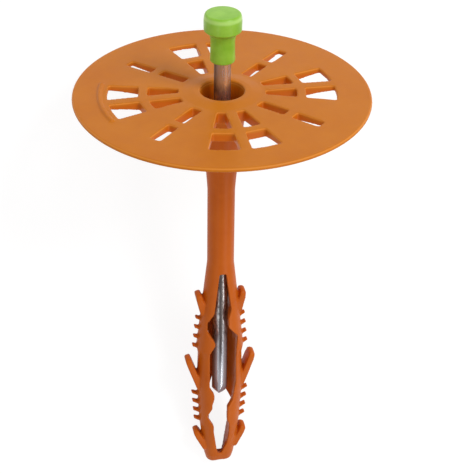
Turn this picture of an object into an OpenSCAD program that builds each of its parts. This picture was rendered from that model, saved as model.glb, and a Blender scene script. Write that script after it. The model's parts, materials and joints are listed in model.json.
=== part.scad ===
// Insulation anchor: a plate and tube moulded in one, with a two-leg expansion zone,
// and a steel nail with a moulded head that is driven in to spread the legs.
// The anchor is drawn standing on its own axis, head up and plate top at zero,
// and is then laid on the floor the way it comes to rest.

/* [Plate] */
// Diameter of the plate
plate_d = 60; // [52:1:90]
// Thickness of the plate at its rim, whose edge is fully round
plate_rim_t = 0.9; // [0.8:0.05:1.6]
// Thickness of the plate at the hub
plate_hub_t = 2.25; // [1.7:0.05:3]
// Width of the flat seat under the plate, from the rim inwards
seat_w = 6.4; // [4:0.1:6.4]
// Diameter of the raised hub around the hole
hub_d = 16; // [12:0.5:16.4]
// Height of the hub above the plate
hub_rise = 0.4; // [0.1:0.05:0.6]
// Radius of the rounded lip of the hole
lip_r = 1.1; // [0.4:0.05:1.2]

/* [Plate windows] */
// Inner radius of the inner ring of windows
inner_r0 = 8.8; // [8.6:0.1:10]
// Outer radius of the inner ring of windows
inner_r1 = 15; // [13:0.1:15.2]
// Inner radius of the outer ring of windows
outer_r0 = 16.9; // [16.2:0.1:18]
// Outer radius of the outer ring of windows
outer_r1 = 23; // [21:0.1:23.4]
// Width of the rib that parts the two windows of a pair
rib_w = 2.2; // [1:0.1:3]
// Angle from the middle of a group to its side
group_half_angle = 18; // [14:0.5:22]
// Width of the radial slots between the groups
slot_w = 2.3; // [1:0.1:3]
// Corner radius of windows and slots
window_corner = 0.4; // [0.2:0.05:0.6]

/* [Neck and tube] */
// Outer diameter of the tube
tube_d = 5.8; // [5.6:0.05:6.6]
// Outer diameter of the neck just under its flare
neck_d = 9.2; // [9.2:0.1:11]
// Distance below the plate top at which the neck has become the tube
neck_len = 22.5; // [18:0.5:30]
// Height of the flare between the plate and the neck
flare_h = 3.4; // [2.5:0.1:4]

/* [Nail] */
// Diameter of the steel nail
nail_d = 3.4; // [2.8:0.05:3.6]
// Distance from the plate top down to the nail's point, before it is driven
nail_tip = 77.3; // [70:0.1:79]
// Length of the nail's tapered point
nail_point = 4.5; // [3:0.1:6]
// Radial running clearance of the nail in its bore
nail_gap = 0.08; // [0.04:0.01:0.1]

/* [Nail head] */
// Diameter of the head's cap
cap_d = 7.6; // [7:0.1:7.8]
// Height of the cap's top above the plate top, before the nail is driven
cap_top = 17.3; // [12:0.1:17.5]
// Height of the cap, its taper included
cap_h = 4.7; // [3:0.1:5]
// Height of the taper under the cap
cap_taper = 1.3; // [0.5:0.1:1.6]
// Edge radius of the cap's top
cap_edge = 0.7; // [0.3:0.05:1.2]
// Diameter of the head's neck
collar_d = 5.15; // [4.6:0.05:5.6]
// Height of the head's neck
collar_h = 5.5; // [4:0.1:7]
// Chamfer at the bottom of the head's neck
collar_chamfer = 0.6; // [0.2:0.05:0.8]
// Wall of the cap above the end of the nail
cap_roof = 1.4; // [1:0.1:2]
// Radial clearance of the head in its socket
socket_gap = 0.25; // [0.1:0.05:0.35]
// Gap that is left under the seated head
seat_gap = 0.35; // [0.2:0.05:0.5]

/* [Expansion zone] */
// Length from the plate top to the end of the legs
sleeve_len = 97.5; // [97.5:0.1:104]
// Distance below the plate top at which the legs begin
legs_top = 40.5; // [36:0.1:41]
// Distance below the plate top of the upper shoulder, where the legs stand widest
shoulder_at = 63.2; // [62:0.1:64]
// Distance below the plate top of the waist just under the shoulder
waist_at = 65.2; // [64.5:0.1:66]
// Distance below the plate top of the knee, from which the legs close again
knee_at = 73.7; // [72:0.1:75]
// Radius of a leg's outer side at the shoulder and the knee
leg_r = 3.9; // [3.7:0.05:4.2]
// Sideways shift of a leg's outer side at the shoulder and the knee
leg_splay = 1.42; // [1.2:0.02:1.7]
// Depth of the waist between shoulder and knee
waist_in = 0.35; // [0.1:0.05:0.5]
// Distance below the plate top at which the knee has narrowed into the leg's end
ankle_at = 85; // [82:0.5:88]
// Distance below the plate top at which the ankle has narrowed into the heel
heel_at = 91; // [89:0.5:92]
// Radius of the closed end of the legs
end_r = 2.1; // [2:0.05:2.4]
// Sideways shift of the two lobes at the end of the legs
end_splay = 1.4; // [1.1:0.05:1.5]
// Height of the rounding at the end of the legs
end_round = 2.5; // [1.5:0.1:3]
// Depth of the groove that parts the two lobes
end_groove = 0.5; // [0.2:0.05:0.8]

/* [Slot between the legs] */
// Distance below the plate top of the upper end of the slot
slot_top = 42.5; // [42:0.1:45]
// Half width of the slot at its upper end
slot_top_half = 0.7; // [0.5:0.05:1]
// Distance below the plate top at which the slot closes on the front
slot_end = 94.3; // [92:0.1:94.6]
// How much further down the slot runs on the back
slot_end_drop = 2; // [0:0.1:2.2]
// Half width of the channel in the middle of the front slot
channel_half = 3; // [2.6:0.05:3.1]
// Reach of the bulges of the front slot's waves, from the axis
bulge_reach = 1.3; // [0.9:0.05:1.5]
// Reach of the notches of the front slot's waves, from the axis
notch_reach = 3.4; // [3.2:0.05:3.6]
// Corner radius of the slot's waves
wave_corner = 0.5; // [0.3:0.05:0.7]
// How far the front slot cuts past the middle plane
slot_step = 0.5; // [0:0.05:0.8]
// Wall of the legs around the hollow between them
leg_wall = 1.35; // [1.2:0.05:1.5]

/* [Tongues] */
// Thickness of a tongue
tongue_t = 1.4; // [0.9:0.05:1.5]
// Width of a tongue
tongue_w = 3.4; // [2.4:0.1:3.6]
// Corner radius of a tongue's end
tongue_corner = 1.15; // [0.4:0.05:1.15]

/* [Teeth] */
// Number of teeth in a row
teeth = 4; // [2:1:4]
// Distance between two teeth
tooth_pitch = 2.55; // [2.2:0.05:2.7]
// Width of a tooth
tooth_w = 1.2; // [1:0.1:2.4]
// Thickness of a tooth at its tip
tooth_tip_t = 0.45; // [0.4:0.05:0.7]
// Thickness of a tooth at its root
tooth_root_t = 0.8; // [0.6:0.05:1.1]
// Angle by which the teeth point up
tooth_angle = 28; // [15:1:40]

/* [Hidden] */
$fn = 48;
EPS = 0.01;
ARC_STEPS = 6;
HULL_FN = 32;
CORNER_STEPS = 3;

// Radii
plate_r = plate_d / 2;
rim_r = plate_rim_t / 2;
tube_r = tube_d / 2;
neck_r = neck_d / 2;
nail_r = nail_d / 2;
bore_r = nail_r + nail_gap;
cap_r = cap_d / 2;
collar_r = collar_d / 2;

// Heights of the nail's head, and the socket that takes it when the nail is driven
cap_bottom = cap_top - cap_h;
collar_bottom = cap_bottom - collar_h;
nail_top = cap_top - cap_roof;
travel = cap_top - hub_rise;
cap_socket_r = cap_r + socket_gap;
collar_socket_r = collar_r + nail_gap + socket_gap / 2;
cap_socket_depth = cap_h + seat_gap - hub_rise;
collar_socket_depth = cap_socket_depth + collar_h;
bore_bottom = nail_tip + travel + seat_gap;

// Each tongue: its root's distance below the plate top, its root's offset, length, angle from the axis
upper_tongue = [53.6, 3.9, 5.3, 12.5];
middle_tongue = [74.5, 4.7, 9, 18];
lower_tongue = [92.8, 3.3, 5.9, 25];

// Each row of teeth: the first tip's distance below the plate top, its offset, the change of
// offset from tooth to tooth
upper_teeth = [54.9, 5.6, 0.23];
lower_teeth = [76.1, 6.5, -0.17];

// The front slot's stretches down its right side, each: start below the plate top, length, offset
right_throat = [51.9, 0.2, channel_half - 1.1];
right_bulge = [54, 2.5, bulge_reach];
right_notch = [59.5, 0.4, notch_reach + 0.1];
right_channel = [63, 9.5, channel_half + 0.15];
right_hip = [77, 0.3, channel_half - 0.6];
right_shin = [79.4, 3.8, bulge_reach - 0.05];
right_heel = [84.6, 3, bulge_reach + 0.45];
right_foot = [90.6, 0.2, bulge_reach + 0.15];

// The front slot's stretches up its left side
left_foot = [92, 0.2, bulge_reach - 0.25];
left_shin = [85, 1.6, bulge_reach + 0.5];
left_heel_notch = [82, 0.3, notch_reach - 0.1];
left_calf = [78.2, 1.2, bulge_reach + 0.9];
left_knee = [75.3, 1.2, bulge_reach + 0.5];
left_channel = [63.4, 10.1, channel_half - 0.15];
left_bulge = [60.5, 0.6, bulge_reach + 0.4];
left_notch = [55.4, 2.4, notch_reach - 0.1];
left_throat = [52.5, 0.2, channel_half - 1.15];

// The back slot's stretches down its right side and up its left side
back_right = [[52, 26.5, 1.95], [82, 1.5, 3.65], [86, 2.5, 2.4], [95, 0.2, 1.35]];
back_left = [[94, 0.3, 0.6], [77.5, 10, 2], [52, 21.5, 0.9]];

// The way the anchor lies: its plate's rim and the end of its legs touch the floor
touch_z = -(sleeve_len - end_round);
touch_y = end_r;
rim_touch_y = plate_r - rim_r;
rim_touch_z = -rim_r;
touch_run = rim_touch_z - touch_z;
touch_rise = rim_touch_y - touch_y;
lie_angle = atan2(touch_rise, touch_run) + asin(rim_r / norm([touch_run, touch_rise]));
lie_height = touch_y * cos(lie_angle) - touch_z * sin(lie_angle);
front_reach = (cap_top - cap_edge) * cos(lie_angle) + (cap_r - cap_edge) * sin(lie_angle) + cap_edge;
back_reach = sleeve_len * cos(lie_angle) + (end_r - 1) * sin(lie_angle);
lie_shift = (back_reach - front_reach) / 2;

// Points along an arc around a centre
function arc(centre, radius, from, to, steps = ARC_STEPS) =
    [for (i = [0:steps]) centre + radius * [cos(from + (to - from) * i / steps), sin(from + (to - from) * i / steps)]];

// Corner k of an outline, rounded by an arc that touches both its sides
function rounded_corner(points, k, radius) =
    let (
        count = len(points),
        here = points[k],
        to_last = points[(k + count - 1) % count] - here,
        to_next = points[(k + 1) % count] - here,
        a = to_last / norm(to_last),
        b = to_next / norm(to_next),
        half = acos(a * b) / 2,
        middle = (a + b) / norm(a + b),
        centre = here + middle * radius / sin(half),
        start = here + a * radius / tan(half) - centre,
        finish = here + b * radius / tan(half) - centre,
        from = atan2(start.y, start.x),
        turn = atan2(start.x * finish.y - start.y * finish.x, start * finish)
    )
    arc(centre, radius, from, from + turn, CORNER_STEPS);
function rounded(points, radius) =
    [for (k = [0:len(points) - 1]) each rounded_corner(points, k, radius)];

// Lays what is drawn on its axis down on the floor
module laid() {
    translate([0, lie_shift, lie_height])
        rotate([lie_angle - 90, 0, 0])
            children();
}

// Draws the mirrored pair of what stands on the right leg
module both_legs() {
    children();
    mirror([1, 0, 0])
        children();
}

// Extrudes a side outline, drawn as offset and height, through the legs
module across(width) {
    rotate([90, 0, 0])
        translate([0, 0, -width / 2])
            linear_extrude(width)
                children();
}

// The plate, flare, neck and tube as one turned outline
module turned_body() {
    ring_r = plate_r - seat_w;
    ring_step_w = 0.8;
    ring_step_h = 0.35;
    flare_r = neck_r + flare_h;
    shelf_w = 0.6;
    shelf_r = cap_socket_r + lip_r + shelf_w;
    throat_h = 3.5;
    throat_in = 0.25;
    rotate_extrude($fn = 96)
        polygon(concat(
            [[0, hub_rise], [shelf_r, hub_rise], [hub_d / 2, 0]],
            arc([plate_r - rim_r, -rim_r], rim_r, 90, -90),
            [[ring_r, -plate_rim_t], [ring_r - ring_step_w, -plate_rim_t - ring_step_h]],
            arc([flare_r, -plate_hub_t - flare_h], flare_h, 90, 180),
            [[tube_r + throat_in, -neck_len + throat_h], [tube_r, -neck_len], [tube_r, -legs_top], [0, -legs_top]]
        ));
}

// One window between two radii, beside the middle rib of its group
module window(r0, r1) {
    rib = rib_w / 2;
    side = group_half_angle;
    outline = [
        [sqrt(r0 * r0 - rib * rib), rib],
        [sqrt(r1 * r1 - rib * rib), rib],
        [r1 * cos(side * 0.55), r1 * sin(side * 0.55)],
        [r1 * cos(side), r1 * sin(side)],
        [r0 * cos(side), r0 * sin(side)]
    ];
    polygon(rounded(outline, window_corner));
}

// One radial slot between two radii
module radial_slot(r0, r1) {
    half = slot_w / 2;
    polygon(rounded([[r0, -half], [r1, -half], [r1, half], [r0, half]], window_corner));
}

// All openings of the plate, seen from above
module window_pattern() {
    groups = 4;
    step = 360 / groups;
    for (k = [0:groups - 1]) {
        rotate(k * step)
            for (side = [0, 1])
                mirror([0, side, 0]) {
                    window(inner_r0, inner_r1);
                    window(outer_r0, outer_r1);
                }
        rotate((k + 0.5) * step) {
            radial_slot(inner_r0, inner_r1);
            radial_slot(outer_r0, outer_r1);
        }
    }
}

// A thin slice of both legs: two discs, shifted to the sides
module leg_slice(depth, radius, shift, steps = HULL_FN) {
    for (side = [-1, 1])
        translate([side * shift, 0, -depth])
            cylinder(r = radius, h = EPS, $fn = steps);
}

// The outer form of the two legs together
module leg_envelope() {
    waist_r = leg_r - waist_in / 2;
    waist_splay = leg_splay - waist_in / 2;
    knee_in = 0.05;
    ankle_in = 0.35;
    heel_out = 0.6;
    heel_in = 0.3;
    sole_in = 1.1;
    hull() {
        leg_slice(legs_top, tube_r, 0);
        leg_slice(shoulder_at, leg_r, leg_splay);
    }
    hull() {
        leg_slice(shoulder_at, leg_r, leg_splay);
        leg_slice(waist_at, waist_r, waist_splay);
    }
    hull() {
        leg_slice(waist_at, waist_r, waist_splay);
        leg_slice(knee_at, leg_r - knee_in, leg_splay - knee_in);
    }
    hull() {
        leg_slice(knee_at, leg_r - knee_in, leg_splay - knee_in);
        leg_slice(ankle_at, leg_r - ankle_in, leg_splay - ankle_in);
        leg_slice(heel_at, end_r + heel_out, end_splay - heel_in);
        leg_slice(sleeve_len - end_round, end_r, end_splay);
        leg_slice(sleeve_len - end_round * 0.3, end_r - sole_in * 0.4, end_splay);
        leg_slice(sleeve_len - EPS, end_r - sole_in, end_splay);
    }
}

// The hollow between the two legs, in which the nail stands free
module leg_hollow() {
    hollow_top = 50;
    hollow_knee = 82;
    hollow_end = 91;
    hollow_fn = 20;
    wide_splay = leg_splay - 0.2;
    hull() {
        leg_slice(hollow_top, bore_r, 0, hollow_fn);
        leg_slice(shoulder_at, leg_r - leg_wall, wide_splay, hollow_fn);
    }
    hull() {
        leg_slice(shoulder_at, leg_r - leg_wall, wide_splay, hollow_fn);
        leg_slice(hollow_knee, leg_r - leg_wall - 0.1, wide_splay - 0.1, hollow_fn);
        leg_slice(hollow_end, bore_r - 0.2, 0.4, hollow_fn);
    }
}

// The two ends of a stretch of the slot's side, from the top down
function stretch(side, row) = [[side * row[2], -row[0]], [side * row[2], -row[0] - row[1]]];
function stretch_up(side, row) = [[side * row[2], -row[0] - row[1]], [side * row[2], -row[0]]];

// The side outline of the front slot: its two sides are waves that face each other
module front_slot() {
    right_side = [
        right_throat, right_bulge, right_notch, right_channel, right_hip, right_shin, right_heel,
        right_foot
    ];
    left_side = [
        left_foot, left_shin, left_heel_notch, left_calf, left_knee, left_channel, left_bulge,
        left_notch, left_throat
    ];
    polygon(rounded(concat(
        [[slot_top_half, -slot_top]],
        [for (row = right_side) each stretch(1, row)],
        [[0.2, -slot_end], [-0.6, -slot_end]],
        [for (row = left_side) each stretch_up(-1, row)],
        [[-slot_top_half, -slot_top]]
    ), wave_corner / 5));
}

// The side outline of the back slot, which stays narrow down to the nail's point
module back_slot() {
    bottom = -slot_end - slot_end_drop;
    polygon(rounded(concat(
        [[slot_top_half, -slot_top]],
        [for (row = back_right) each stretch(1, row)],
        [[0.8, bottom], [0, bottom]],
        [for (row = back_left) each stretch_up(-1, row)],
        [[-slot_top_half, -slot_top]]
    ), wave_corner / 5));
}

// Cuts both slots, which meet just behind the middle plane; the back slot's foot comes further forward
module slot_cut() {
    reach = 3 * leg_r;
    foot_step = 1;
    foot_h = 2.5;
    foot_left = 0.5;
    foot_right = 1.1;
    translate([0, slot_step - reach / 2, 0])
        across(reach)
            front_slot();
    translate([0, slot_step + reach / 2 - EPS, 0])
        across(reach)
            back_slot();
    translate([-foot_left, -foot_step, -slot_end - slot_end_drop])
        cube([foot_left + foot_right, foot_step + leg_r, foot_h]);
}

// A tongue that grows up and out from the leg: a strap with a round end
module tongue(place) {
    half = tongue_t / 2;
    side = tongue_w / 2;
    length = place[2];
    translate([place[1], 0, -place[0]])
        rotate([0, place[3], 0])
            intersection() {
                across(tongue_w)
                    union() {
                        translate([-half, -half])
                            square([tongue_t, length]);
                        translate([0, length - half])
                            circle(r = half);
                    }
                rotate([90, 0, 90])
                    translate([0, 0, -tongue_t])
                        linear_extrude(2 * tongue_t)
                            polygon(rounded([[-side, -half], [side, -half], [side, length], [-side, length]], tongue_corner));
            }
}

// The side outline of one tooth, drawn from its tip back into the leg
module tooth_outline(reach) {
    rotate(tooth_angle) {
        polygon([
            [-reach, -tooth_root_t / 2], [-tooth_tip_t / 2, -tooth_tip_t / 2],
            [-tooth_tip_t / 2, tooth_tip_t / 2], [-reach, tooth_root_t / 2]
        ]);
        translate([-tooth_tip_t / 2, 0])
            circle(d = tooth_tip_t);
    }
}

module tooth_row(row) {
    root_reach = 2.2;
    for (k = [0:teeth - 1])
        translate([row[1] + k * row[2], 0, -row[0] - k * tooth_pitch])
            across(tooth_w)
                tooth_outline(root_reach);
}

// The passage for the nail, with a stepped socket for its head and a rounded lip
module nail_passage() {
    mouth = hub_rise + 1;
    translate([0, 0, -bore_bottom])
        cylinder(r = bore_r, h = bore_bottom + mouth);
    translate([0, 0, -collar_socket_depth])
        cylinder(r = collar_socket_r, h = collar_socket_depth + mouth);
    translate([0, 0, -cap_socket_depth])
        cylinder(r = cap_socket_r, h = cap_socket_depth + mouth);
    rotate_extrude()
        polygon(concat(
            [[0, mouth], [cap_socket_r + lip_r, mouth]],
            arc([cap_socket_r + lip_r, hub_rise - lip_r], lip_r, 90, 180),
            [[0, hub_rise - lip_r]]
        ));
}

module sleeve() {
    color("darkorange")
        laid()
            difference() {
                union() {
                    turned_body();
                    leg_envelope();
                    both_legs() {
                        for (place = [upper_tongue, middle_tongue, lower_tongue])
                            tongue(place);
                        for (row = [upper_teeth, lower_teeth])
                            tooth_row(row);
                    }
                }
                nail_passage();
                translate([0, 0, -plate_hub_t - 1])
                    linear_extrude(plate_hub_t + 2)
                        window_pattern();
                slot_cut();
                leg_hollow();
                translate([0, 0, -sleeve_len - 0.5])
                    rotate([90, 0, 0])
                        cylinder(r = 0.5 + end_groove, h = 4 * leg_r, center = true);
            }
}

module nail() {
    tip_r = 0.45;
    tip_h = 0.5;
    waist_r = nail_r * 0.82;
    color("silver")
        laid()
            rotate_extrude()
                polygon([
                    [0, -nail_tip], [tip_r, -nail_tip + tip_h], [waist_r, -nail_tip + nail_point * 0.55],
                    [nail_r, -nail_tip + nail_point], [nail_r, nail_top], [0, nail_top]
                ]);
}

module nail_head() {
    taper_r = collar_r + 0.3;
    color("yellowgreen")
        laid()
            difference() {
                rotate_extrude()
                    polygon(concat(
                        [[0, collar_bottom], [collar_r - collar_chamfer, collar_bottom]],
                        [[collar_r, collar_bottom + collar_chamfer], [collar_r, cap_bottom]],
                        [[taper_r, cap_bottom], [cap_r, cap_bottom + cap_taper]],
                        arc([cap_r - cap_edge, cap_top - cap_edge], cap_edge, 0, 90),
                        [[0, cap_top]]
                    ));
                translate([0, 0, collar_bottom - 1])
                    cylinder(r = nail_r, h = nail_top - collar_bottom + 1);
            }
}

sleeve();
nail();
nail_head();
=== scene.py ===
import json
import math

import bmesh
import bpy
from mathutils import Matrix, Vector


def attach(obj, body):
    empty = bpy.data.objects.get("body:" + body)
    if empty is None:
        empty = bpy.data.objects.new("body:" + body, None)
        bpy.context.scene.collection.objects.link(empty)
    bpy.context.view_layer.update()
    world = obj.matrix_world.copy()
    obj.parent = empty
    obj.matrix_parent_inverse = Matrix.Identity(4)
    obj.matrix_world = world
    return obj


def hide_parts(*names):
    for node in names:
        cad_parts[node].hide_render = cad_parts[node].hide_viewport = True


# Insulation anchor, lying on its plate's rim and the end of its legs.
# Lengths are in metres; a name that ends in _MM holds millimetres.
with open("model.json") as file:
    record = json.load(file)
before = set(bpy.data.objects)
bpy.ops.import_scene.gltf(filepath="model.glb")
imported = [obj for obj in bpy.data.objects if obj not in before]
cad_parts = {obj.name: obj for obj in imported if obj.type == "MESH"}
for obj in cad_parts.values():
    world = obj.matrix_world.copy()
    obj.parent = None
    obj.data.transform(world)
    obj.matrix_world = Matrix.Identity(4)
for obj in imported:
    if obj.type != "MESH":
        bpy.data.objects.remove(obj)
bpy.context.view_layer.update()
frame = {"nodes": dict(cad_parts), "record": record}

# the view
# The camera stands above the lying anchor and looks at it from the plate's upper side,
# with the anchor's axis upright in the picture.
EYE = Vector((-0.050774, 0.093461, 0.298665))
AIM = Vector((0.00239, 0.00646, 0.025))
UPWARD_HINT = Vector((0.102638, 0.953555, -0.283193))
PICTURE_PX = 474
FOCAL_PX = 1392.94
SENSOR_MM = 36
NEAREST_SEEN = 0.01
FARTHEST_SEEN = 20

camera = bpy.data.cameras.new("studio_camera")
camera.sensor_width = SENSOR_MM
camera.lens = FOCAL_PX / PICTURE_PX * SENSOR_MM
camera.clip_start = NEAREST_SEEN
camera.clip_end = FARTHEST_SEEN
backward = (EYE - AIM).normalized()
rightward = UPWARD_HINT.cross(backward).normalized()
upward = backward.cross(rightward)
camera_object = bpy.data.objects.new("studio_camera", camera)
camera_object.matrix_world = (
    Matrix.Translation(EYE) @ Matrix((rightward, upward, backward)).transposed().to_4x4()
)
bpy.context.collection.objects.link(camera_object)
bpy.context.scene.camera = camera_object

# the light
# A wide lamp high on the right, two strip lamps low beyond the legs, which draw the bright
# lines on the round nail, and a bright room.
ROOM_STRENGTH = 0.5
LAMPS = {
    # name: direction from the anchor, distance, width, length, power in watts
    "right_lamp": ((0.45, 0.50, 0.74), 0.9, 0.35, 0.35, 3.4),
    "right_strip": ((0.42, -0.72, 0.55), 0.9, 0.08, 0.50, 1.2),
    "left_strip": ((-0.56, -0.58, 0.58), 0.9, 0.06, 0.50, 0.5),
}


def grey(level):
    """An even grey, from 0 for black to 1 for white."""
    return (level, level, level, 1)


bpy.context.scene.view_settings.view_transform = "Standard"
room = bpy.data.worlds.new("bright_room")
room.use_nodes = True
room_light = room.node_tree.nodes["Background"]
room_light.inputs["Color"].default_value = grey(1)
room_light.inputs["Strength"].default_value = ROOM_STRENGTH
bpy.context.scene.world = room
for name, (toward, distance, width, length, power) in LAMPS.items():
    lamp = bpy.data.lights.new(name, "AREA")
    lamp.shape = "ELLIPSE"
    lamp.size = width
    lamp.size_y = length
    lamp.energy = power
    outward = Vector(toward).normalized()
    across = UPWARD_HINT.cross(outward).normalized()
    along = outward.cross(across)
    lamp_object = bpy.data.objects.new(name, lamp)
    lamp_object.matrix_world = (
        Matrix.Translation(outward * distance)
        @ Matrix((across, along, outward)).transposed().to_4x4()
    )
    bpy.context.collection.objects.link(lamp_object)


# the table top
# A plain white table top under the anchor. The camera and mirrors see it glow evenly white,
# less the anchor's soft shadow. Its material is the first, so the shader maths starts here.
class Link:
    """A socket of a shader tree; sums and products of such sockets add their Math nodes."""

    def __init__(self, tree, socket):
        self.tree = tree
        self.socket = socket

    def math(self, operation, *terms):
        node = self.tree.nodes.new("ShaderNodeMath")
        node.operation = operation
        for slot, term in zip(node.inputs, terms):
            feed(self.tree, slot, term)
        return Link(self.tree, node.outputs[0])

    def __add__(self, other):
        return self.math("ADD", self, other)

    def __radd__(self, other):
        return self.math("ADD", other, self)

    def __sub__(self, other):
        return self.math("SUBTRACT", self, other)

    def __rsub__(self, other):
        return self.math("SUBTRACT", other, self)

    def __mul__(self, other):
        return self.math("MULTIPLY", self, other)

    def __rmul__(self, other):
        return self.math("MULTIPLY", other, self)

    def larger(self, other):
        return self.math("MAXIMUM", self, other)

    def size(self):
        return self.math("ABSOLUTE", self)

    def clamped(self):
        return self.math("MINIMUM", self.larger(0.0), 1.0)


def feed(tree, slot, value):
    """Set a node's socket to a plain value, or link it to another node's output."""
    if isinstance(value, Link):
        tree.links.new(value.socket, slot)
    else:
        slot.default_value = value


class Finish:
    """A material whose nodes are added one call at a time."""

    # the Mix node has sockets of equal names; these are the ones for colours
    MIX_FIRST = 6
    MIX_SECOND = 7
    MIX_RESULT = 2

    def __init__(self, name):
        self.material = bpy.data.materials.new(name)
        self.material.use_nodes = True
        self.tree = self.material.node_tree
        self.shader = self.tree.nodes["Principled BSDF"]

    def node(self, kind, settings=(), values=(), out=0):
        node = self.tree.nodes.new("ShaderNode" + kind)
        for key, value in dict(settings).items():
            setattr(node, key, value)
        for key, value in dict(values).items():
            feed(self.tree, node.inputs[key], value)
        return Link(self.tree, node.outputs[out])

    def mix(self, share, first, second):
        return self.node("Mix", {"data_type": "RGBA"},
                         {"Factor": share, self.MIX_FIRST: first, self.MIX_SECOND: second},
                         self.MIX_RESULT)

    def step(self, value, limits_mm):
        """0 below the lower limit, 1 above the upper one, smooth between, for a length."""
        low, high = limits_mm
        return self.node("MapRange", {"interpolation_type": "SMOOTHSTEP"},
                         {"Value": value, "From Min": low / 1000, "From Max": high / 1000})

    def noise(self, place, pattern):
        return self.node("TexNoise", (), {"Vector": place, **pattern})

    def mapped(self, place, **values):
        return self.node("Mapping", {"vector_type": "POINT"}, {"Vector": place, **values})

    def dot(self, place, direction):
        return self.node("VectorMath", {"operation": "DOT_PRODUCT"}, {0: place, 1: direction},
                         "Value")

    def bump(self, height, strength, depth_mm):
        return self.node("Bump", (), {"Height": height, "Strength": strength,
                                      "Distance": depth_mm / 1000})

    def set(self, **values):
        for key, value in values.items():
            feed(self.tree, self.shader.inputs[key.replace("_", " ")], value)


TABLE_SIZE = 6.0
TABLE_WHITE = 0.85
TABLE_SEEN = 0.2              # what the camera sees lit, which carries the shadow
TABLE_GLOW = 0.87             # what it sees glow, shadow or not

bpy.ops.mesh.primitive_plane_add(size=TABLE_SIZE)
table_top = bpy.context.object
table_top.name = "table_top"
white = Finish("white_table")
ray = white.tree.nodes.new("ShaderNodeLightPath")
seen = Link(white.tree, ray.outputs["Is Camera Ray"])
seen = seen.larger(Link(white.tree, ray.outputs["Is Glossy Ray"]))
seen = seen.larger(Link(white.tree, ray.outputs["Is Transmission Ray"]))
white.set(
    Base_Color=white.mix(seen, grey(TABLE_WHITE), grey(TABLE_SEEN)),
    Roughness=1.0,
    Specular_IOR_Level=0.0,
    Emission_Color=grey(1),
    Emission_Strength=seen * TABLE_GLOW,
)
table_top.data.materials.append(white.material)

# the sleeve
# Plate, tube and the two legs are one moulding of orange polypropylene. A copy of the CAD's
# sleeve gets a raised arc on its plate and edges that are softly rounded, as a mould rounds
# them. The hub, the hole's mouth and the plate round the hub are then shaped as they are seen.
MERGE_DISTANCE = 2e-6         # within which corners of the CAD's loose triangles are joined
SEAT_REACH = 0.0265           # where the seat's mount lies, out from the plate's centre
SEAT_DEPTH = 0.0009           # and down from the plate's top

ARC_RADIUS_MM = 24.5          # of the raised arc, from the plate's centre
ARC_START = math.radians(161)
ARC_SWEEP = math.radians(38)
ARC_STEPS = 60
ARC_BAR_MM = 0.5              # radius of the arc's bar
ARC_BAR_STEPS = 16
ARC_SINK_MM = 0.06            # depth of the bar's middle below the plate's top

EDGE_GRID_MM = 0.16           # cell of the grid that rounds the moulding's edges
GRID_TURN = Matrix.Rotation(0.45, 4, "X") @ Matrix.Rotation(0.35, 4, "Z")   # off the edges
RELAX_SHARE = 0.5             # part of the way to its neighbours that a pass moves a point
EDGE_SOFTENING = 2            # passes that relax the rounded surface
TONGUE_TIPS_MM = [(5.05, -48.4), (7.45, -66.0), (5.8, -87.5)]   # reach, height
TIP_SIZE_MM = 1.7             # distance from a tongue's tip within which it is rounded
TIP_SOFTENING = 14            # passes that round it
SEAT_STEP_MM = (22.0, 24.2)   # ring in which the small step beside the seat is smoothed
SEAT_STEP_HEIGHTS_MM = (-2, -0.5)
SEAT_STEP_SOFTENING = 4       # passes that smooth it
KEPT_FACES = 0.17             # share of the grid's triangles that is kept

SHAPED_FROM_MM = -8           # height from which the shape follows what is seen
MOUTH_OLD_MM = (4.05, 5.15)   # the round lip of the hole, inner and outer radius
MOUTH_NEW_MM = (4.42, 4.85)   # the same lip as it is seen, wider and crisper
MOUTH_INSIDE_MM = 0.2         # how far inside the lip the hole's wall still follows it
MOUTH_OUTSIDE_MM = 0.3        # how far outside the lip the change fades out
MOUTH_DEPTH_MM = 1.1          # how far down the hole the lip is changed in full
MOUTH_BLEND_MM = 2.0          # and how much further the change fades out
HUB_RISE_MM = 0.4             # height of the hub's face over the plate's top
HUB_LIFT_MM = 0.27            # how far the hub is seen to stand up from the rim's plane
HUB_LIFT_RADII_MM = (9, 27)   # radii between which the lift fades out
HUB_LIFT_HEIGHTS_MM = (-7, -3)   # heights on the neck between which it sets in
EXTRA_MM = 0.45               # how much thicker the plate is seen to be round the hub
EXTRA_AT_SLOTS = 0.25         # share of that at the narrow slots
EXTRA_SIDES = (-0.2, 0.6)     # from a slot's side to a window's, as a cosine
EXTRA_FROM_MM = (4.6, 7)      # radii between which it sets in
EXTRA_UNTIL_MM = (14.5, 21)   # radii between which it fades out
EXTRA_DEPTHS_MM = (0.4, 1.2)  # depths between which the underside starts to move
WINDOW_GROUPS = 4

seat = frame["record"]["mounts"][0]
seat_down = Vector(seat["axis"])
plate_up = -seat_down
lie_angle = math.atan2(-seat_down.z, -seat_down.y)
plate_centre = Vector(seat["pos_m"]) - seat_down * SEAT_DEPTH - Vector((SEAT_REACH, 0, 0))
# from the anchor's own axes, head up and plate top at zero, to the row's axes
to_row = Matrix.Translation(plate_centre) @ Matrix.Rotation(lie_angle - math.pi / 2, 4, "X")


def built(name, mesh):
    """An object for a finished mesh, with its place in the mesh."""
    piece = bpy.data.objects.new(name, mesh)
    bpy.context.collection.objects.link(piece)
    return piece


def evaluated_mesh(piece):
    """The piece with its modifiers, as a plain mesh; the modifiers are removed."""
    depsgraph = bpy.context.evaluated_depsgraph_get()
    mesh = bpy.data.meshes.new_from_object(piece.evaluated_get(depsgraph))
    piece.modifiers.clear()
    return mesh


def ramp(value, limits):
    """0 below the lower limit, 1 above the upper one, smooth between."""
    low, high = limits
    t = min(max((value - low) / (high - low), 0), 1)
    return t * t * (3 - 2 * t)


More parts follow.
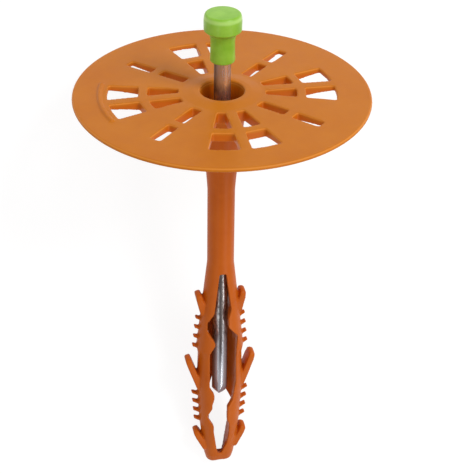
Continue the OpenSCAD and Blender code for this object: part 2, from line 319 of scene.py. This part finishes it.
def relax(mesh, verts, passes):
    """Smooth some vertices of a mesh, which takes the grid's steps out of it."""
    for _ in range(passes):
        bmesh.ops.smooth_vert(mesh, verts=verts, factor=RELAX_SHARE,
                              use_axis_x=True, use_axis_y=True, use_axis_z=True)


def at_tongue_tip(place):
    """Whether a point belongs to the end of one of the six tongues."""
    return any(
        math.hypot(abs(place.x) * 1000 - reach, place.z * 1000 - height) < TIP_SIZE_MM
        for reach, height in TONGUE_TIPS_MM
    )


def at_seat_step(place):
    """Whether a point belongs to the small step on the plate's underside, beside its seat."""
    inner, outer = SEAT_STEP_MM
    low, high = SEAT_STEP_HEIGHTS_MM
    return (inner < math.hypot(place.x, place.y) * 1000 < outer
            and low < place.z * 1000 < high)


def seen_place(place):
    """Where a point of the plate or the neck is seen in the photograph."""
    x, y, z = place * 1000
    radius = math.hypot(x, y)
    lift = HUB_LIFT_MM * (1 - ramp(radius, HUB_LIFT_RADII_MM)) * ramp(z, HUB_LIFT_HEIGHTS_MM)
    lip_old, edge_old = MOUTH_OLD_MM
    lip_new, edge_new = MOUTH_NEW_MM
    lip_share = (edge_new - lip_new) / (edge_old - lip_old)
    if lip_old - MOUTH_INSIDE_MM < radius < edge_old + MOUTH_OUTSIDE_MM:
        below = HUB_RISE_MM - z
        blend = 1 - ramp(below, (MOUTH_DEPTH_MM, MOUTH_DEPTH_MM + MOUTH_BLEND_MM))
        blend *= 1 - ramp(radius, (edge_old, edge_old + MOUTH_OUTSIDE_MM))
        outward = lip_new + (radius - lip_old) * lip_share
        pulled = radius + (outward - radius) * blend
        x *= pulled / radius
        y *= pulled / radius
        z = HUB_RISE_MM - below * (1 - (1 - lip_share) * blend)
    else:
        at_window = ramp(math.cos(WINDOW_GROUPS * math.atan2(y, x)), EXTRA_SIDES)
        extra = EXTRA_MM * (EXTRA_AT_SLOTS + (1 - EXTRA_AT_SLOTS) * at_window)
        z -= (extra * ramp(radius, EXTRA_FROM_MM) * (1 - ramp(radius, EXTRA_UNTIL_MM))
              * ramp(-z, EXTRA_DEPTHS_MM))
    return Vector((x, y, z + lift)) / 1000


# the curve from a screen's levels to linear light
SCREEN_WHITE = 255
SCREEN_DARK_END = 0.04045
SCREEN_DARK_SLOPE = 12.92
SCREEN_OFFSET = 0.055
SCREEN_POWER = 2.4


def srgb(red, green, blue):
    """A colour as it is seen on a screen, from 0 to 255, as the shader's linear colour."""
    def linear(level):
        level /= SCREEN_WHITE
        if level <= SCREEN_DARK_END:
            return level / SCREEN_DARK_SLOPE
        return ((level + SCREEN_OFFSET) / (1 + SCREEN_OFFSET)) ** SCREEN_POWER
    return (linear(red), linear(green), linear(blue), 1)


def height_above_plate(finish, place):
    """Distance along the anchor's axis from the plate's top, negative towards the legs."""
    return finish.dot(place, plate_up) - plate_centre.dot(plate_up)


orange = Finish("orange_polypropylene")

# the raised arc: a round bar swept along an arc, as a Geometry Nodes tree
arc_tree = bpy.data.node_groups.new("raised_arc", "GeometryNodeTree")
arc_inputs = {"Radius": ARC_RADIUS_MM / 1000, "Start": ARC_START, "Sweep": ARC_SWEEP,
              "Bar radius": ARC_BAR_MM / 1000}
for name in arc_inputs:
    arc_tree.interface.new_socket(name, in_out="INPUT", socket_type="NodeSocketFloat")
arc_tree.interface.new_socket("Geometry", in_out="OUTPUT", socket_type="NodeSocketGeometry")
arc_in = arc_tree.nodes.new("NodeGroupInput")
arc_out = arc_tree.nodes.new("NodeGroupOutput")
arc_line = arc_tree.nodes.new("GeometryNodeCurveArc")
arc_line.inputs["Resolution"].default_value = ARC_STEPS
arc_bar = arc_tree.nodes.new("GeometryNodeCurvePrimitiveCircle")
arc_bar.inputs["Resolution"].default_value = ARC_BAR_STEPS
arc_sweep = arc_tree.nodes.new("GeometryNodeCurveToMesh")
arc_sweep.inputs["Fill Caps"].default_value = True
arc_real = arc_tree.nodes.new("GeometryNodeRealizeInstances")
arc_finish = arc_tree.nodes.new("GeometryNodeSetMaterial")
arc_finish.inputs["Material"].default_value = orange.material
for source, target in (
    (arc_in.outputs["Radius"], arc_line.inputs["Radius"]),
    (arc_in.outputs["Start"], arc_line.inputs["Start Angle"]),
    (arc_in.outputs["Sweep"], arc_line.inputs["Sweep Angle"]),
    (arc_in.outputs["Bar radius"], arc_bar.inputs["Radius"]),
    (arc_line.outputs["Curve"], arc_sweep.inputs["Curve"]),
    (arc_bar.outputs["Curve"], arc_sweep.inputs["Profile Curve"]),
    (arc_sweep.outputs["Mesh"], arc_real.inputs["Geometry"]),
    (arc_real.outputs["Geometry"], arc_finish.inputs["Geometry"]),
    (arc_finish.outputs["Geometry"], arc_out.inputs["Geometry"]),
):
    arc_tree.links.new(source, target)
arc_holder = built("raised_arc", bpy.data.meshes.new("raised_arc"))
arc_modifier = arc_holder.modifiers.new("raised_arc", "NODES")
arc_modifier.node_group = arc_tree
for item in arc_tree.interface.items_tree:
    if item.in_out == "INPUT":
        arc_modifier[item.identifier] = arc_inputs[item.name]
arc_mesh = evaluated_mesh(arc_holder)
arc_mesh.transform(Matrix.Translation((0, 0, -ARC_SINK_MM / 1000)))
bpy.data.objects.remove(arc_holder)

# the moulding and its arc become one closed skin, on a grid that is turned off their edges
moulding = bmesh.new()
moulding.from_mesh(frame["nodes"]["sleeve"].data)
bmesh.ops.remove_doubles(moulding, verts=moulding.verts, dist=MERGE_DISTANCE)
moulding.transform(to_row.inverted())
moulding.from_mesh(arc_mesh)
moulding.transform(GRID_TURN)
rough_mesh = bpy.data.meshes.new("sleeve_rough")
moulding.to_mesh(rough_mesh)
moulding.free()
sleeve = built("sleeve_moulding", rough_mesh)
grid = sleeve.modifiers.new("edge_rounding", "REMESH")
grid.mode = "VOXEL"
grid.voxel_size = EDGE_GRID_MM / 1000
fine_mesh = evaluated_mesh(sleeve)

# the skin is relaxed, shaped and thinned out
moulding = bmesh.new()
moulding.from_mesh(fine_mesh)
moulding.transform(GRID_TURN.inverted())
relax(moulding, moulding.verts, EDGE_SOFTENING)
relax(moulding, [vert for vert in moulding.verts if at_tongue_tip(vert.co)], TIP_SOFTENING)
relax(moulding, [vert for vert in moulding.verts if at_seat_step(vert.co)],
      SEAT_STEP_SOFTENING)
for vert in moulding.verts:
    if vert.co.z * 1000 >= SHAPED_FROM_MM:
        vert.co = seen_place(vert.co)
moulding.to_mesh(fine_mesh)
moulding.free()
sleeve.data = fine_mesh
thinning = sleeve.modifiers.new("thinning", "DECIMATE")
thinning.ratio = KEPT_FACES
sleeve.data = evaluated_mesh(sleeve)
sleeve.data.transform(to_row)
for vert in sleeve.data.vertices:
    vert.co.z = max(vert.co.z, 0)    # nothing below the table top
sleeve.data.shade_smooth()

# what the plastic looks like, with painted shade in the windows and on the tube and a painted
# highlight along the plate's edges; the depths are counted down from the plate's lifted top
PLATE_ORANGE = srgb(205, 115, 16)
PLATE_ORANGE_PALE = srgb(214, 127, 28)
WINDOW_SHADE_ORANGE = srgb(206, 103, 8)
EDGE_HIGHLIGHT_ORANGE = srgb(240, 152, 66)
TUBE_SHADED_ORANGE = srgb(194, 90, 12)
TUBE_SHADED_ORANGE_PALE = srgb(206, 102, 20)
PLATE_HEIGHTS_MM = (-7, -2.5)      # heights between which the tube's painted shade gives way to the plate's orange
WINDOW_SHADE_UNTIL_MM = (27.5, 28.5)    # radii outside which no painted shade is put on a window's wall
WINDOW_SHADE_DEPTHS_MM = (0.2, 0.9)      # depths between which a window's wall takes its painted shade, darker and redder
EDGE_HIGHLIGHT_FROM_MM = (0.03, 0.09)   # depths between which the painted highlight on the plate's rounded edges starts
EDGE_HIGHLIGHT_UNTIL_MM = (0.16, 0.4)   # and ends
EDGE_HIGHLIGHT_SHARE = 0.6
SLEEVE_CLOUDS = {"Scale": 90.0, "Detail": 4.0, "Roughness": 0.6}
SLEEVE_STREAKS = {"Scale": 420.0, "Detail": 3.0}
SLEEVE_GRAIN = {"Scale": 2600.0, "Detail": 2.0}
CLOUD_SHARE = 0.7
STREAK_SHARE = 0.3
SLEEVE_TONE_START = 0.32           # level of the noise below which the darker colour is plain
SLEEVE_TONE_CONTRAST = 2.6
SLEEVE_ROUGHNESS = 0.34
SLEEVE_ROUGHNESS_RANGE = 0.14
SLEEVE_SPECULAR = 0.15
SLEEVE_GRAIN_STRENGTH = 0.12
SLEEVE_GRAIN_MM = 0.1

own = orange.node("TexCoord", out="Object")
height = height_above_plate(orange, own)
off_centre = orange.node("VectorMath", {"operation": "DISTANCE"}, {0: own, 1: plate_centre},
                         "Value")
in_plate = orange.step(height, PLATE_HEIGHTS_MM)
hub_lift = (1.0 - orange.step(off_centre, HUB_LIFT_RADII_MM)) * (HUB_LIFT_MM / 1000)
below_top = hub_lift - height
# painted shade on the windows' walls, darker and redder than the plate's top
window_shade = (orange.step(below_top, WINDOW_SHADE_DEPTHS_MM) * in_plate
             * (1.0 - orange.step(off_centre, WINDOW_SHADE_UNTIL_MM)))
# a highlight painted along the rounded top edges of the plate and its windows
edge_highlight = (orange.step(below_top, EDGE_HIGHLIGHT_FROM_MM)
           * (1.0 - orange.step(below_top, EDGE_HIGHLIGHT_UNTIL_MM)))
streak = orange.noise(own, SLEEVE_STREAKS)
tone = ((orange.noise(own, SLEEVE_CLOUDS) * CLOUD_SHARE + streak * STREAK_SHARE
         - SLEEVE_TONE_START) * SLEEVE_TONE_CONTRAST).clamped()
# the tube and legs: the plate's orange, painted darker and redder as painted shade
shaded_tube_colour = orange.mix(tone, TUBE_SHADED_ORANGE, TUBE_SHADED_ORANGE_PALE)
plate_colour = orange.mix(tone, PLATE_ORANGE, PLATE_ORANGE_PALE)
plate_colour = orange.mix(window_shade, plate_colour, WINDOW_SHADE_ORANGE)
plate_colour = orange.mix(edge_highlight * EDGE_HIGHLIGHT_SHARE, plate_colour, EDGE_HIGHLIGHT_ORANGE)
orange.set(
    Base_Color=orange.mix(in_plate, shaded_tube_colour, plate_colour),
    Roughness=SLEEVE_ROUGHNESS + streak * SLEEVE_ROUGHNESS_RANGE,
    Specular_IOR_Level=SLEEVE_SPECULAR,
    Normal=orange.bump(orange.noise(own, SLEEVE_GRAIN), SLEEVE_GRAIN_STRENGTH,
                       SLEEVE_GRAIN_MM),
)
sleeve.data.materials.clear()
sleeve.data.materials.append(orange.material)
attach(sleeve, "sleeve_body")
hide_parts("sleeve")

# the nail
# A steel wire nail, cut to a four-sided point. Its zinc is bright low down and dull where it
# rubs in the tube, with fine drawing marks along the wire. Its colour also carries painted
# shade on its sides, a painted highlight line above the plate and a painted dark reflection
# along the middle of its upper side, low in the legs.
NAIL_RADIUS_MM = 1.7
NAIL_TOP_MM = 15.9
NAIL_TIP_MM = -77.3
NAIL_RINGS_MM = (-40, 0, NAIL_TOP_MM)   # heights of the rings above the point
POINT_LENGTH_MM = 3.8
POINT_BLUNT_MM = 0.4
POINT_SIDES = 4
POINT_TURN = math.radians(28)
POINT_STEPS = 26
POINT_SPACING = 1.1           # above 1, the rings stand closer at the tip
POINT_SWELL = 0.8             # below 1, the flats run out more steeply at the tip
NAIL_STEPS_AROUND = 72
NAIL_CREASE = math.radians(24)


def ring_mesh(name, rings, transform):
    """A closed mesh through rings of points, capped at both ends."""
    mesh = bmesh.new()
    loops = [[mesh.verts.new(point) for point in ring] for ring in rings]
    for lower, upper in zip(loops, loops[1:]):
        for k in range(len(lower)):
            after = (k + 1) % len(lower)
            mesh.faces.new((lower[k], lower[after], upper[after], upper[k]))
    mesh.faces.new(reversed(loops[0]))
    mesh.faces.new(loops[-1])
    bmesh.ops.recalc_face_normals(mesh, faces=mesh.faces)
    mesh.transform(transform)
    out = bpy.data.meshes.new(name)
    mesh.to_mesh(out)
    mesh.free()
    return out


def nail_ring(height_mm, flat_mm):
    """One ring of the nail, where flats at the given distance cut the round wire."""
    side = 2 * math.pi / POINT_SIDES
    ring = []
    for k in range(NAIL_STEPS_AROUND):
        angle = 2 * math.pi * k / NAIL_STEPS_AROUND
        off_middle = (angle - POINT_TURN + side / 2) % side - side / 2
        radius = min(NAIL_RADIUS_MM, flat_mm / math.cos(off_middle)) / 1000
        ring.append((radius * math.cos(angle), radius * math.sin(angle), height_mm / 1000))
    return ring


nail_rings = []
for k in range(POINT_STEPS + 1):
    share = k / POINT_STEPS
    opened = math.sin(share * math.pi / 2) ** POINT_SWELL
    flat = POINT_BLUNT_MM + (NAIL_RADIUS_MM - POINT_BLUNT_MM) * opened
    nail_rings.append(nail_ring(NAIL_TIP_MM + POINT_LENGTH_MM * share ** POINT_SPACING, flat))
for ring_height in NAIL_RINGS_MM:
    nail_rings.append(nail_ring(ring_height, NAIL_RADIUS_MM))
nail = built("wire_nail", ring_mesh("wire_nail", nail_rings, to_row))
nail.data.shade_smooth()
nail.data.set_sharp_from_angle(angle=NAIL_CREASE)

# what the zinc looks like: bright, dull, and chalky at the nail's lower end, with painted
# shade, a painted highlight and a painted dark reflection in its colour
ZINC_BRIGHT = srgb(240, 238, 238)
ZINC_DULL_AND_SHADE = srgb(104, 96, 94)
CHALKY_BRIGHT = srgb(196, 198, 206)
CHALKY_DULL_AND_SHADE = srgb(84, 78, 80)
DRAWN_MARKS = {"Scale": 2600.0, "Detail": 3.0}
DRAWN_STRETCH = (1, 1, 0.06)
BLOTCHES = {"Scale": 1500.0, "Detail": 4.0, "Roughness": 0.7}
BLOTCH_STRETCH = (1, 1, 0.5)
NOISE_MIDDLE = 0.5
# pairs of heights, or of distances from a line along the wire, between which a mask changes
RUBBED_FROM_MM = (-70, -56)
RUBBED_UNTIL_MM = (-4, 4)
CHALKY_UNTIL_MM = (-66, -52)
DARK_REFLECTION_FROM_MM = (-73.5, -64)
DARK_REFLECTION_UNTIL_MM = (-45, -40)
DARK_REFLECTION_MIDDLE_MM = 0.1         # offset of the painted dark reflection streak along the nail's upper side
DARK_REFLECTION_HALF_MM = (0.1, 0.55)
HIGHLIGHT_MIDDLE_MM = 0.45        # offset of the painted highlight line near the nail's head
HIGHLIGHT_HALF_MM = (0.1, 0.5)
SHADED_LIMB_MM = (1.1, 1.6)
SHADED_SIDE_MM = (-1.3, -0.2)
OVER_PLATE_MM = (-2, 2)
# how far each of them moves the zinc towards its dull colour: the shaded side and the limbs are
# painted shade, the dark streak is a painted dark reflection, and the bright line clears it as
# a painted highlight
SHADED_DULLS = 0.22
SHADED_SIDE_DULLS = 0.35
SHADED_LIMB_DULLS = 0.3
HIGHLIGHT_CLEARS = 0.3
ALL_DULLS = 0.02
RUBBED_DULLS = 0.66
DARK_REFLECTION_DARKENS = 0.75
CHALKY_LIMB_SHADE = 0.6
BLOTCH_CONTRAST = 0.3
RUBBED_BLOTCH_CONTRAST = 2.0
DRAWN_CONTRAST = 0.2
NAIL_METALLIC = 0.94
CHALKY_LESS_METALLIC = 0.4
NAIL_ROUGHNESS = 0.24
DULL_ROUGHNESS = 0.14
DRAWN_BUMP = 0.6
BLOTCH_BUMP = 0.4
NAIL_BUMP_STRENGTH = 0.03
NAIL_BUMP_MM = 0.03

steel = Finish("zinc_plated_wire")
own = steel.node("TexCoord", out="Object")
height = height_above_plate(steel, own)
turned = steel.mapped(own, Rotation=(math.pi / 2 - lie_angle, 0, 0))
aside = steel.dot(turned, (1, 0, 0))
drawn = steel.noise(steel.mapped(turned, Scale=DRAWN_STRETCH), DRAWN_MARKS)
blotch = steel.noise(steel.mapped(turned, Scale=BLOTCH_STRETCH), BLOTCHES)
rubbed = steel.step(height, RUBBED_FROM_MM) * (1.0 - steel.step(height, RUBBED_UNTIL_MM))
chalky = 1.0 - steel.step(height, CHALKY_UNTIL_MM)
# a dark streak painted along the middle of the nail's upper side, low in the legs: a painted
# dark reflection
dark_reflection = 1.0 - steel.step((aside + DARK_REFLECTION_MIDDLE_MM / 1000).size(), DARK_REFLECTION_HALF_MM)
dark_reflection = (dark_reflection * steel.step(height, DARK_REFLECTION_FROM_MM)
         * (1.0 - steel.step(height, DARK_REFLECTION_UNTIL_MM)))
# the nail's two sides, as seen across it, get painted shade, above the plate and at the lower
# end
shaded_limb = steel.step(aside.size(), SHADED_LIMB_MM)
# a highlight line painted along the nail above the plate
painted_highlight = 1.0 - steel.step((aside - HIGHLIGHT_MIDDLE_MM / 1000).size(), HIGHLIGHT_HALF_MM)
# painted shade on the nail's left side and sides above the plate, cleared along the painted
# highlight line
shaded = ((1.0 - steel.step(aside, SHADED_SIDE_MM)) * SHADED_SIDE_DULLS
          + shaded_limb * SHADED_LIMB_DULLS + SHADED_DULLS - painted_highlight * HIGHLIGHT_CLEARS)
shaded = shaded * steel.step(height, OVER_PLATE_MM)
# the zinc's dull marks and wear, together with the painted shade, painted highlight and painted
# dark reflection
dull_and_shade = (
    (blotch - NOISE_MIDDLE) * (rubbed * RUBBED_BLOTCH_CONTRAST + BLOTCH_CONTRAST)
    + (drawn - NOISE_MIDDLE) * DRAWN_CONTRAST + ALL_DULLS
    + rubbed * RUBBED_DULLS + dark_reflection * DARK_REFLECTION_DARKENS
    + shaded + shaded_limb * chalky * CHALKY_LIMB_SHADE
).clamped()
steel.set(
    Metallic=NAIL_METALLIC - chalky * CHALKY_LESS_METALLIC,
    Base_Color=steel.mix(
        dull_and_shade,
        steel.mix(chalky, ZINC_BRIGHT, CHALKY_BRIGHT),
        steel.mix(chalky, ZINC_DULL_AND_SHADE, CHALKY_DULL_AND_SHADE),
    ),
    Roughness=NAIL_ROUGHNESS + dull_and_shade * DULL_ROUGHNESS,
    Normal=steel.bump(drawn * DRAWN_BUMP + blotch * BLOTCH_BUMP, NAIL_BUMP_STRENGTH,
                      NAIL_BUMP_MM),
)
nail.data.materials.append(steel.material)
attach(nail, "nail_body")
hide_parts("nail")

# the nail's head
# A green polymer head moulded onto the nail: a drum with rounded edges on a tapered shoulder,
# over a short neck that flares slightly to its lower end.
HEAD_PROFILE_MM = [
    # radius, height above the plate top, rounding of the corner
    (1.7, 7.1, 0.0),
    (2.5, 7.1, 0.4),
    (2.44, 9.5, 2.0),
    (2.42, 11.6, 0.5),
    (2.68, 12.95, 0.06),
    (3.76, 13.8, 0.12),
    (3.8, 16.25, 0.8),
    (3.5, 17.27, 0.45),
    (0.0, 17.3, 0.0),
]
POLE_RADIUS_MM = 0.002        # of the small ring that closes each pole
CORNER_LIMIT = 0.48           # share of a side that the rounding of a corner may take up
ROUNDING_STEPS = 7
HEAD_STEPS_AROUND = 96
HEAD_CREASE = math.radians(50)


def rounded_profile(corners):
    """The points of a profile whose corners are replaced by smooth arcs."""
    points = []
    for k, (radius, height_mm, rounding) in enumerate(corners):
        here = Vector((radius, height_mm))
        if rounding == 0:
            points.append(here)
            continue
        to_last = Vector(corners[k - 1][:2]) - here
        to_next = Vector(corners[k + 1][:2]) - here
        start = here + to_last.normalized() * min(rounding, to_last.length * CORNER_LIMIT)
        end = here + to_next.normalized() * min(rounding, to_next.length * CORNER_LIMIT)
        for step in range(ROUNDING_STEPS + 1):
            t = step / ROUNDING_STEPS
            points.append(start * (1 - t) ** 2 + here * 2 * t * (1 - t) + end * t ** 2)
    return points


def head_ring(radius_mm, height_mm):
    """One round ring of the head."""
    ring = []
    for k in range(HEAD_STEPS_AROUND):
        angle = 2 * math.pi * k / HEAD_STEPS_AROUND
        ring.append((radius_mm / 1000 * math.cos(angle), radius_mm / 1000 * math.sin(angle),
                     height_mm / 1000))
    return ring


profile = rounded_profile(HEAD_PROFILE_MM)
profile[-1].x = POLE_RADIUS_MM
profile.insert(0, Vector((NAIL_RADIUS_MM, NAIL_TOP_MM)))
profile.insert(0, Vector((POLE_RADIUS_MM, NAIL_TOP_MM)))
head_rings = [head_ring(point.x, point.y) for point in profile]
head = built("moulded_head", ring_mesh("moulded_head", head_rings, to_row))
head.data.shade_smooth()
head.data.set_sharp_from_angle(angle=HEAD_CREASE)

# what the head looks like: a faintly hazy green with a highlight painted on its rounded rim
HEAD_GREEN = srgb(138, 196, 48)
HEAD_GREEN_PALE = srgb(160, 214, 72)
RIM_HIGHLIGHT_GREEN = srgb(204, 246, 140)
RIM_HIGHLIGHT_HEIGHT_MM = 16.6          # middle of the head's rounded rim, where the painted highlight lies
RIM_HIGHLIGHT_HALF_MM = (0.1, 0.6)
RIM_HIGHLIGHT_SHARE = 0.6
HEAD_HAZE = {"Scale": 300.0, "Detail": 4.0}
HEAD_GRAIN = {"Scale": 1800.0}
HAZE_START = 0.35
HAZE_CONTRAST = 3.0
HEAD_ROUGHNESS = 0.26
HAZE_ROUGHNESS = 0.1
HEAD_SPECULAR = 0.35
HEAD_GRAIN_STRENGTH = 0.1
HEAD_GRAIN_MM = 0.1

green = Finish("green_polymer")
own = green.node("TexCoord", out="Object")
haze = green.noise(own, HEAD_HAZE)
off_rim = (height_above_plate(green, own) - RIM_HIGHLIGHT_HEIGHT_MM / 1000).size()
# a highlight painted round the head's rounded rim
rim_highlight = 1.0 - green.step(off_rim, RIM_HIGHLIGHT_HALF_MM)
plain = green.mix(((haze - HAZE_START) * HAZE_CONTRAST).clamped(), HEAD_GREEN, HEAD_GREEN_PALE)
green.set(
    Base_Color=green.mix(rim_highlight * RIM_HIGHLIGHT_SHARE, plain, RIM_HIGHLIGHT_GREEN),
    Roughness=HEAD_ROUGHNESS + haze * HAZE_ROUGHNESS,
    Specular_IOR_Level=HEAD_SPECULAR,
    Normal=green.bump(green.noise(own, HEAD_GRAIN), HEAD_GRAIN_STRENGTH, HEAD_GRAIN_MM),
)
head.data.materials.append(green.material)
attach(head, "nail_body")
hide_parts("nail_head")
